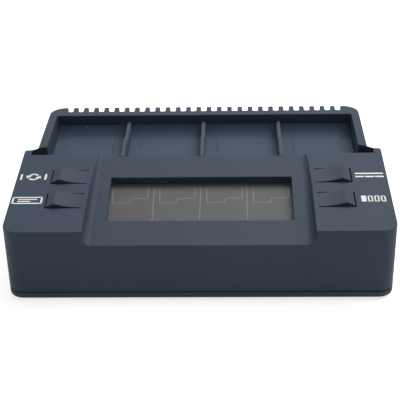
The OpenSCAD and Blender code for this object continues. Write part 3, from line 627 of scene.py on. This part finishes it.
def display_marks():
    """Faint outlines of four cells and the lines between them, on the display's face, with a painted glint
    and a painted shadow of the gap at its rear edge.
    """
    mark = Print(FIELD, LCD_TOP, 0.02)
    for x in (-16.55, -0.22, 16.15):
        mark.bar(x, 13.0, x, 34.7, 0.32)
    for x in (-31.2, -14.65, 1.9, 18.2):
        mark.path([(x, 34.8), (x + 0.3, 26.3), (x + 6.2, 26.3), (x + 6.6, 28.5), (x + 7.5, 28.8),
                   (x + 12.5, 28.8), (x + 12.6, 34.8)], 0.32)
    mark.piece("display_segments", faint_ink)
    # A painted glint: a bright line and two dots where the pane's rear edge catches the light
    line = Print(FIELD, LCD_TOP, 0.03)
    line.bar(-32.4, 37.8, 32.0, 37.8, 0.26)
    for x in (-31.9, -30.4):
        line.disc(x, 37.6, 0.36)
    line.piece("display_painted_glint", painted_glint_ink)
    # A black bar paints the shade in the gap between the pane's rear edge and the display
    painted_gap_shade = Print(FIELD, LCD_TOP, 0.02)
    painted_gap_shade.bar(-33.0, 37.42, 33.0, 37.42, 0.36)
    painted_gap_shade.piece("display_painted_gap_shade", black)


def specks():
    """Three flecks of fluff that lie in the cove behind the bays."""
    bm = bmesh.new()
    for x, turn, size in ((-45.5, 0.3, 0.21), (-21.0, 1.2, 0.16), (9.6, 2.1, 0.18)):
        grown = bmesh.ops.create_icosphere(bm, subdivisions=2, radius=size * MM)
        shape = CASE @ Matrix.Translation((x * MM, 78.1 * MM, 26.75 * MM)) @ Matrix.Rotation(turn, 4, "Y")
        shape = shape @ Matrix.Diagonal((1.5, 0.6, 0.8, 1.0))
        bmesh.ops.transform(bm, matrix=shape, verts=grown["verts"])
    mesh = bpy.data.meshes.new("specks")
    bm.to_mesh(mesh)
    bm.free()
    finish_mesh("specks", mesh, (fluff,), "case")


key_signs()
display_marks()
specks()


# Small repeated things

def solder_points():
    """Rows of small solder domes on the underside of the main board, seen through the base slots."""
    tree = bpy.data.node_groups.new("solder_points", "GeometryNodeTree")
    tree.interface.new_socket("Geometry", in_out="OUTPUT", socket_type="NodeSocketGeometry")
    tree.interface.new_socket("Material", in_out="INPUT", socket_type="NodeSocketMaterial")
    source = tree.nodes.new("NodeGroupInput")
    sink = tree.nodes.new("NodeGroupOutput")
    grid = add(tree, "GeometryNodeMeshGrid", Size_X=0.050, Size_Y=0.022, Vertices_X=14, Vertices_Y=8)
    seed = add(tree, "FunctionNodeRandomValue", data_type="BOOLEAN")
    seed.inputs["Probability"].default_value = 0.62
    seed.inputs["Seed"].default_value = 5
    shift = add(tree, "FunctionNodeRandomValue", data_type="FLOAT_VECTOR")
    shift.inputs[0].default_value = (-0.0009, -0.0009, 0)
    shift.inputs[1].default_value = (0.0009, 0.0009, 0)
    shift.inputs["Seed"].default_value = 8
    moved = add(tree, "GeometryNodeSetPosition", {"Geometry": grid.outputs["Mesh"],
                                                  "Offset": shift.outputs[0]})
    dome = add(tree, "GeometryNodeMeshUVSphere", Segments=14, Rings=8, Radius=0.0008)
    flat = add(tree, "GeometryNodeTransform", {"Geometry": dome.outputs["Mesh"]})
    flat.inputs["Scale"].default_value = (1, 1, 0.6)
    spread = add(tree, "GeometryNodeInstanceOnPoints",
                 {"Points": moved.outputs[0], "Selection": seed.outputs[3], "Instance": flat.outputs[0]})
    real = add(tree, "GeometryNodeRealizeInstances", {"Geometry": spread.outputs[0]})
    place = add(tree, "GeometryNodeTransform", {"Geometry": real.outputs[0]})
    place.inputs["Translation"].default_value = (0, 0, (FOOT_H + 4.95) * MM)
    coat = add(tree, "GeometryNodeSetMaterial",
               {"Geometry": place.outputs[0], "Material": source.outputs[0]})
    tree.links.new(coat.outputs[0], sink.inputs[0])
    holder = linked("solder_holder", bpy.data.meshes.new("solder_holder"))
    grow = holder.modifiers.new("Grow", "NODES")
    grow.node_group = tree
    grow[tree.interface.items_tree["Material"].identifier] = solder
    mesh = applied(holder)
    for poly in mesh.polygons:
        poly.use_smooth = True
    finish_mesh("solder_points", mesh, (solder,), "case")


solder_points()


# Looks of the pieces that keep their own mesh

def paint(made, *names):
    for name in names:
        mesh = nodes[name].data
        mesh.materials.clear()
        mesh.materials.append(made)


keys = [side + "_" + row for side in ("left", "right") for row in ("rear", "front")]
paint(pane, "display_window")
paint(face, "lcd_glass")
paint(black, "lcd_frame", "dc_inlet", *["key_switch_" + k for k in keys],
      *["contact_block_%d" % i for i in range(1, 5)])
paint(stem_brown, *["key_stem_" + k for k in keys])
paint(milky, "lcd_backlight")
paint(pink_rubber, "lcd_strip_front", "lcd_strip_rear")
paint(board, "display_board", "main_board")
paint(link_film, "board_link")
paint(nickel, "dc_pin", *["contact_blade_%d" % i for i in range(1, 9)])
paint(chip_black, "controller_chip", *["charge_transistor_%d" % i for i in range(1, 5)])
paint(ferrite, "choke")
paint(sleeve, "capacitor_left", "capacitor_right")
paint(rubber, *["foot_%s_%s" % (a, b) for a in ("front", "rear") for b in ("left", "right")])
paint(steel, "case_screws", "board_screws", "display_screws")


# Camera, floor and light

CAMERA_PLACE = (0.01108, -0.34155, 0.20833)
LENS = 96.587
YAW = math.radians(-2.0)
TILT = math.radians(29.55)
ROLL = math.radians(-1.3)
forward = Vector((math.sin(YAW) * math.cos(TILT), math.cos(YAW) * math.cos(TILT), -math.sin(TILT)))
right = Vector((math.cos(YAW), -math.sin(YAW), 0))
upward = right.cross(forward)
across = math.cos(ROLL) * right + math.sin(ROLL) * upward
above = -math.sin(ROLL) * right + math.cos(ROLL) * upward
camera_data = bpy.data.cameras.new("camera")
camera_data.lens = LENS
camera_data.sensor_width = 36.0
camera_data.clip_start = 0.01
camera_data.clip_end = 20.0
camera = linked("camera", camera_data)
turn = Matrix((across, above, -forward)).transposed()
camera.matrix_world = Matrix.Translation(CAMERA_PLACE) @ turn.to_4x4()
bpy.context.scene.camera = camera


def softbox(name, place, target, size, power, colour):
    data = bpy.data.lights.new(name, "AREA")
    data.shape = "RECTANGLE"
    data.size, data.size_y = size
    data.energy = power
    data.color = colour
    light = linked(name, data)
    light.location = place
    light.rotation_euler = (Vector(target) - Vector(place)).to_track_quat("-Z", "Y").to_euler()


softbox("softbox_top", (0.28, 0.32, 0.78), (0, 0.02, 0), (1.0, 0.36), 6.9, (1.0, 0.99, 0.97))
softbox("softbox_left", (-0.75, -0.25, 0.45), (0, 0, 0.02), (0.5, 0.5), 0.35, (0.94, 0.97, 1.0))
softbox("softbox_right", (0.75, -0.2, 0.45), (0, 0, 0.02), (0.5, 0.5), 0.7, (0.94, 0.97, 1.0))

world = bpy.data.worlds.new("world")
bpy.context.scene.world = world
world.use_nodes = True
world_tree = world.node_tree
backdrop = world_tree.nodes["Background"]
backdrop.inputs["Color"].default_value = (0.98, 0.99, 1.0, 1)
strength = maths(world_tree, "MULTIPLY_ADD", seen_ray(world_tree), 0.8, 0.2)
world_tree.links.new(strength, backdrop.inputs["Strength"])

floor_material, floor_tree, floor_shader = material("pale_floor")
floor_place = add(floor_tree, "ShaderNodeTexCoord").outputs["Object"]
floor_tone = mix(floor_tree, noise(floor_tree, floor_place, 6.0),
                 (0.91, 0.91, 0.90, 1), (0.94, 0.94, 0.93, 1))
floor_tree.links.new(floor_tone, floor_shader.inputs["Base Color"])
floor_shader.inputs["Roughness"].default_value = 0.8
floor_shader.inputs["Emission Color"].default_value = (1, 1, 1, 1)
glow = maths(floor_tree, "MULTIPLY", seen_ray(floor_tree), 0.72)
floor_tree.links.new(glow, floor_shader.inputs["Emission Strength"])
floor_shader.inputs["Specular IOR Level"].default_value = 0.2
floor_mesh = bpy.data.meshes.new("floor")
floor_mesh.from_pydata([(-6, -6, 0), (6, -6, 0), (6, 6, 0), (-6, 6, 0)], [], [(0, 1, 2, 3)])
floor = linked("floor", floor_mesh)
floor_mesh.materials.append(floor_material)

scene = bpy.context.scene
scene.view_settings.view_transform = "Standard"
scene.view_settings.look = "None"
scene.view_settings.exposure = 0.0
scene.view_settings.gamma = 1.0

bpy.context.view_layer.update()
